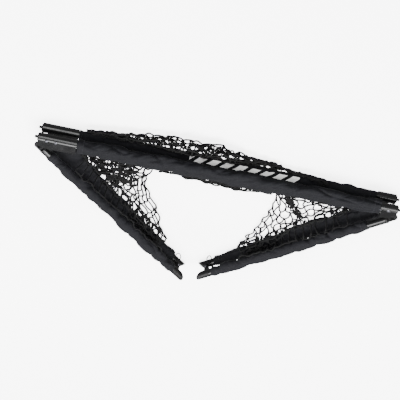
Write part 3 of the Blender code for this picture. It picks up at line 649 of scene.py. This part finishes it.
def lay_cord(bm, uv, share, points, shares):
    """A round cord through the points; shares is how far each follows the second body."""
    rings, run = [], 0.0
    up = Vector((0, 0, 1))
    for i, point in enumerate(points):
        ahead = points[min(i + 1, len(points) - 1)] - points[max(i - 1, 0)]
        ahead.normalize()
        side = ahead.cross(up)
        if side.length < 0.05:
            side = ahead.cross(Vector((0, 1, 0)))
        side.normalize()
        up = side.cross(ahead)
        run += (point - points[i - 1]).length if i else 0.0
        ring = []
        for k in range(CORD_SIDES):
            a = 2 * math.pi * k / CORD_SIDES
            vert = bm.verts.new(point + (side * math.cos(a) + up * math.sin(a)) * TWINE)
            vert[share] = shares[i]
            ring.append(vert)
        rings.append((ring, run))
    for (first, run_0), (second, run_1) in zip(rings, rings[1:]):
        for k in range(CORD_SIDES):
            j = (k + 1) % CORD_SIDES
            face = bm.faces.new((first[k], first[j], second[j], second[k]))
            face.smooth = True
            corners = ((run_0, k), (run_0, k + 1), (run_1, k + 1), (run_1, k))
            for loop, (along, turn) in zip(face.loops, corners):
                loop[uv].uv = (along, turn / CORD_SIDES)
    bm.faces.new(list(reversed(rings[0][0])))
    bm.faces.new(rings[-1][0])


def tie_knot(bm, share, point, amount):
    made = bmesh.ops.create_icosphere(bm, subdivisions=1, radius=KNOT_R,
                                      matrix=Matrix.Translation(point))
    for vert in made["verts"]:
        vert[share] = amount
        for face in vert.link_faces:
            face.smooth = True


# %% A whole net
FINE = 6  # points per mesh side


def slack_cord(knots, rng, slack, lift):
    """Points along a cord that is slack between its knots, so each stretch bows out in an arc."""
    points = []
    for i, (first, second) in enumerate(zip(knots, knots[1:])):
        ahead = second - first
        aside = Vector((-ahead.y, ahead.x, 0))
        aside = aside.normalized() if aside.length > 1e-6 else Vector((1, 0, 0))
        bow = aside * (rng.uniform(-1, 1) * slack) + Vector((0, 0, rng.uniform(0, 1) * lift))
        before = knots[i - 1] if i else first - ahead
        after = knots[i + 2] if i + 2 < len(knots) else second + ahead
        for step in range(FINE):
            t = step / FINE
            # A Catmull-Rom curve through the knots, plus the arc
            curve = 0.5 * (2 * first + (second - before) * t
                           + (2 * before - 5 * first + 4 * second - after) * t * t
                           + (3 * first - before - 3 * second + after) * t ** 3)
            points.append(curve + bow * math.sin(math.pi * t))
    return points + [knots[-1].copy()]


def knotted_net(name, patches, slack, lift, keep):
    """Lays each patch of net, (columns, rows, place, shares), through knots at place(u, v).

    shares is how far its first and last row follow the second body. slack and lift are how
    far a cord bows between its knots. keep moves a point that would be inside something."""
    mesh = bpy.data.meshes.new(name)
    bm = bmesh.new()
    uv = bm.loops.layers.uv.new("UVMap")
    share = bm.verts.layers.float.new("share")
    rng = random.Random(name)
    for columns, rows, place, (low, high) in patches:
        crossing = [[place(i / columns, j / rows) for i in range(columns + 1)]
                    for j in range(rows + 1)]
        amounts = [low + (high - low) * j / rows for j in range(rows + 1)]
        along = [(crossing[j], [amounts[j]] * (columns + 1)) for j in range(rows + 1)]
        down = [([crossing[j][i] for j in range(rows + 1)], amounts) for i in range(columns + 1)]
        for knots, shares in along + down:
            points = [keep(point) for point in slack_cord(knots, rng, slack, lift)]
            spread = [shares[min(k // FINE, len(shares) - 1)] * (1 - k % FINE / FINE)
                      + shares[min(k // FINE + 1, len(shares) - 1)] * (k % FINE / FINE)
                      for k in range(len(points))]
            lay_cord(bm, uv, share, points, spread)
        for j in range(rows + 1):
            for knot in crossing[j]:
                tie_knot(bm, share, keep(knot.copy()), amounts[j])
    bm.normal_update()
    bm.to_mesh(mesh)
    bm.free()
    made = bpy.data.objects.new(name, mesh)
    bpy.context.scene.collection.objects.link(made)
    mesh.materials.append(twine_black)
    print(name, "has", len(mesh.polygons), "faces")
    return made


# %% What every net needs
CLEAR_OF_BARS = BAR_Y - 0.030  # net in front of the bars' sleeves goes no nearer to them


def off_floor(point):
    point.z = max(point.z, LOWEST)
    return point


def crumple(x, y, seed, size):
    """A smooth random push, the same for points that lie close together."""
    return noise.noise_vector(Vector((x * size, y * size, seed)))


def bend_by_share(made):
    """Bakes the net's transform into its mesh."""
    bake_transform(made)


# %% [markdown]
# ### The back net
# On the open goal this net closes the back. Folded, it has slid into a loose roll behind the
# rear rail, thickest near the middle. A flat sheet would have to be folded over and over to
# get there, so its rows are wound straight into a spiral, with noise in the winding.

# %% The back net
BACK_NET_LEFT, BACK_NET_RUN = -0.336, 0.606
ROLL = ((-0.345, 0.0012), (-0.328, 0.0024), (-0.299, 0.0066), (-0.262, 0.0090), (-0.169, 0.0132),
        (-0.110, 0.0180), (-0.063, 0.0215), (-0.006, 0.0210), (0.040, 0.0160), (0.080, 0.0090),
        (0.120, 0.0050), (0.197, 0.0022), (0.257, 0.0014), (0.300, 0.0010))
ROLL_START, ROLL_WINDS = math.radians(130), math.radians(620)
REAR_OVAL = (0.0190 + 0.0018, 0.0158 + 0.0018)  # the rear sleeve's half sizes and twine's room


def outside_sleeve(point):
    """Moves a point out of the rear rail's sleeve, and up off the floor."""
    across, height = point.y - BAR_Y, point.z - BASE_Z
    size = math.hypot(across / REAR_OVAL[0], height / REAR_OVAL[1])
    if 0.01 < size < 1:
        point.y, point.z = BAR_Y + across / size, BASE_Z + height / size
    return off_floor(point)


def back_net_place(u, v):
    """Wound up loosely behind the rear rail: v is how far along the winding a knot is."""
    x = BACK_NET_LEFT + BACK_NET_RUN * u
    size = between(ROLL, x)
    turn = ROLL_START - v * ROLL_WINDS + 1.2 * noise.noise(Vector((x * 10, 7.7, 0)))
    wander = 0.85 + 0.45 * noise.noise(Vector((x * 18, 0.4, v * 2.2)))
    loose = size * (1.18 - 0.55 * v) * wander
    tuck = max(0.0, 0.6 * (1 - u / 0.30), (u - 0.78) / 0.22)  # each end lies on the sleeve
    y = BAR_Y + 0.0195 + size + loose * math.cos(turn) - 0.009 * tuck
    z = 0.006 + size * 0.75 + loose * 0.65 * math.sin(turn) + 0.012 * tuck
    push = crumple(x, v * 0.4, 4.0, 52)
    return Vector((x + push.x * 0.016, y + push.y * 0.5 * size, z + push.z * 0.5 * size))


back_patches = [(26, 10, back_net_place, (0, 1))]
back_net = knotted_net("back_netting", back_patches, 0.0095, 0.005, outside_sleeve)
bend_by_share(back_net)
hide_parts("back_net")

# %% [markdown]
# ### Slack in front of the crossbar
# A little of the same net hangs over the crossbar's front and ends on the floor. Three rows
# of meshes are enough, so the fall from the bar to the floor is written as one curve.

# %% Slack in front of the crossbar
FRONT_HALF = 0.140
FRONT_SLACK = ((-0.140, 0.038), (-0.040, 0.043), (0.030, 0.049), (0.080, 0.044), (0.140, 0.034))


def front_slack_place(u, v):
    """Hangs from the crossbar's front at v = 0 and lies on the floor at v = 1."""
    x = -FRONT_HALF + 2 * FRONT_HALF * u
    reach = between(FRONT_SLACK, x) + 0.012 * noise.noise(Vector((x * 22, 2.2, 0)))
    y = CLEAR_OF_BARS - reach * math.sin(v * math.pi / 2) ** 0.8
    z = FRONT_Z * (1 - v) ** 1.4 + 0.003 * v
    push = crumple(x, v * 0.3, 17.0, 46)
    return off_floor(Vector((x + push.x * 0.016 * v, y + push.y * 0.010 * v,
                             z + push.z * 0.006 * v)))


front_patches = [(11, 3, front_slack_place, (0, 0))]
front_slack = knotted_net("front_netting", front_patches, 0.0045, 0.003, off_floor)
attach(front_slack, "front_bar")
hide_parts("front_net")

# %% [markdown]
# ### The side nets
# Each side net is laced to a post and to its side rail. Folded, it lies on the floor between
# them, out to its free edge. Its far border is bunched up into a dense tangle beside the
# crossbar, and more of it lies along the sleeve. One crumpled sheet can't be open here and
# dense there, so each net is three patches of knots, each with its own place(u, v).

# %% The open part of a side net
FREE_EDGE = {
    "left": ((-0.340, 0.108), (-0.255, 0.112), (-0.160, 0.100), (-0.172, 0.045), (-0.166, 0.010),
             (-0.153, -0.018), (-0.135, -0.043), (-0.117, -0.074), (-0.108, -0.108),
             (-0.098, -0.142)),
    "right": ((0.355, 0.108), (0.255, 0.106), (0.162, 0.100), (0.159, 0.062), (0.148, 0.027),
              (0.145, -0.014), (0.130, -0.044), (0.122, -0.073), (0.111, -0.100)),
}
SIDE_NET = {"left": (0.112, 0.450), "right": (0.112, 0.424)}  # where it is laced to the rail
SIDE_ROWS = {"left": 9, "right": 6}  # the first goes over the sleeve, the rest lie beside it
SIDE_SEED = {"left": 8.0, "right": 12.0}
SLEEVE_HALF = 0.0190  # a row starts this far from the middle of the rail
TUCK = 0.032  # near the foot it starts on top of the sleeve


def along_path(points, share):
    """The point at that share of the length of a path of plan points."""
    points = [Vector(point) for point in points]
    lengths = [(b - a).length for a, b in zip(points, points[1:])]
    left = share * sum(lengths)
    for first, second, length in zip(points, points[1:], lengths):
        if left <= length:
            return first.lerp(second, left / length)
        left -= length
    return points[-1].copy()


def above_rail(side):
    """Keeps a point on top of the side rail's sleeve, and off the floor."""
    inverse = leg_place[side, "side_rail"].inverted()

    def keep(point):
        local = inverse @ point
        across = abs(local.y) / (between(SLACK_REACH[side], local.x) + LOWEST)
        if across < 1:
            point.z = max(point.z, BASE_Z + 0.0172 * math.sqrt(1 - across ** 2))
        return off_floor(point)

    return keep


def side_net_place(side):
    here = leg_place[side, "side_rail"]
    turn, seed = INWARDS[side], SIDE_SEED[side]
    first, last = SIDE_NET[side]
    over_rail = 1 / SIDE_ROWS[side]

    def place(u, v):
        s = first + (last - first) * u
        edge = between(SLACK_REACH[side], s) + 0.0045 - TUCK * max(0.0, u - 0.40) / 0.60
        if v < over_rail:
            step = v / over_rail
            across = SLEEVE_HALF + (edge - SLEEVE_HALF) * step
            height = (FRONT_Z - BASE_Z) * (1 - step) - 0.011 * step
            return here @ Vector((s, turn * across, height))
        near = (here @ Vector((s, turn * edge, 0))).to_2d()
        out = ((v - over_rail) / (1 - over_rail)) ** 1.25
        flat = near.lerp(along_path(FREE_EDGE[side], u), out)
        loose = min(1.0, 0.25 + out)
        push = crumple(flat.x, flat.y, seed, 30)
        small = crumple(flat.x, flat.y, seed + 2, 85)
        flat.x += (push.x * 0.013 + small.x * 0.006) * loose
        flat.y += (push.y * 0.011 + small.y * 0.005) * loose
        z = TWINE * 2 + (0.002 + 0.010 * abs(push.z)) * loose
        return Vector((flat.x, min(flat.y, CLEAR_OF_BARS), z))

    return place


# %% Its tangle beside the crossbar, and the rows along the sleeve
TANGLE = {  # corners of the patch of net that is bunched up beside the crossbar
    "left": ((-0.312, 0.088), (-0.198, 0.108), (-0.256, 0.004), (-0.196, 0.030)),
    "right": ((0.150, 0.108), (0.226, 0.036), (0.186, 0.108), (0.240, 0.030)),
}
TANGLE_MESHES = {"left": (14, 7), "right": (7, 5)}
TANGLE_PUSH = {"left": 0.016, "right": 0.009}
TANGLE_SEED = {"left": 35.0, "right": 36.0}
EDGE_WIDTH = {"left": 0.014, "right": 0.004}
EDGE_SEED = {"left": 41.0, "right": 39.0}


def tangle_place(side):
    corners = [Vector(corner) for corner in TANGLE[side]]
    middle = sum(corners, Vector((0, 0))) / 4

    def place(u, v):
        folded = 1 - abs(1 - 2 * u) if side == "left" else u
        flat = corners[0].lerp(corners[1], folded).lerp(corners[2].lerp(corners[3], folded), v)
        push = crumple(u * 0.3, v * 0.2, TANGLE_SEED[side], 26)
        flat += Vector((push.x, push.y)) * TANGLE_PUSH[side]
        flat = flat.lerp(middle, 0.35 * math.exp(-((flat - middle).length / 0.035) ** 2))
        height = 0.008 + 0.008 * abs(push.z) + 0.004 * u
        return Vector((flat.x, min(flat.y, CLEAR_OF_BARS), height))

    return place


def edge_place(side):
    """The net's rows that lie bunched along the sleeve."""
    here = leg_place[side, "side_rail"]
    first, last = SIDE_NET[side]

    def place(u, v):
        s = first + (last - first) * u
        push = crumple(s, v * 0.5, EDGE_SEED[side], 60)
        spread = (EDGE_WIDTH[side] * v + 0.004 * push.x) * (1.0 - 0.6 * u)
        across = between(SLACK_REACH[side], s) + 0.002 + spread
        point = here @ Vector((s + push.y * 0.012, INWARDS[side] * across, 0))
        return Vector((point.x, point.y, 0.006 + 0.004 * v))

    return place


# %% Both side nets
for side in SIDES:
    patches = [(15, SIDE_ROWS[side], side_net_place(side), (0, 1)),
               (*TANGLE_MESHES[side], tangle_place(side), (0.5, 0.7)),
               (11, 2, edge_place(side), (1, 0.9))]
    net = knotted_net(f"{side}_side_netting", patches, 0.0070, 0.003, above_rail(side))
    bend_by_share(net)
    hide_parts(side + "_side_net")

# %% [markdown]
# ## Tie cords
# A short cord goes round each side rail at its foot. On the unfolded goal it ties the net's
# corner down. Here it is slack, and its loop rests on the floor beside the rail. A mesh tube
# would do as well, but a curve with a round bevel stays smooth and says its own length.

# %% Tie cords
TIE_R = 0.0012
TIE_POINTS = 28
TIE_OUT = math.radians(78)  # the way round the rail in which the loop stands out most


def tie_cord(side):
    here = leg_place[side, "side_rail"]
    points = []
    for i in range(TIE_POINTS + 1):
        a = -0.30 + (2 * math.pi + 0.05) * i / TIE_POINTS
        slack = max(0.0, math.cos(a - TIE_OUT))
        reach = TUBE_R + TIE_R + 0.0004 + 0.012 * slack ** 2
        along = LEG - 0.013 + 0.004 * math.sin(a * 2) * slack + 0.0030 * i / TIE_POINTS
        points.append(here @ Vector((along, INWARDS[side] * reach * math.sin(a),
                                     reach * math.cos(a))))
    curve = bpy.data.curves.new(side + "_tie", "CURVE")
    curve.dimensions = "3D"
    curve.bevel_depth = TIE_R
    curve.bevel_resolution = 4
    curve.resolution_u = 6
    spline = curve.splines.new("NURBS")
    spline.points.add(len(points) - 1)
    for point, place in zip(spline.points, points):
        point.co = (*place, 1)
    spline.use_endpoint_u = True
    spline.order_u = 4
    curve.use_fill_caps = True
    made = bpy.data.objects.new(side + "_tie", curve)
    bpy.context.scene.collection.objects.link(made)
    made.data.materials.append(twine_black)
    length = sum((b - a).length for a, b in zip(points, points[1:]))
    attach(made, side + "_side_rail")
    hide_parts(side + "_tie_cord")
    print(made.name, "is", round(length, 4), "m long")


for side in SIDES:
    tie_cord(side)
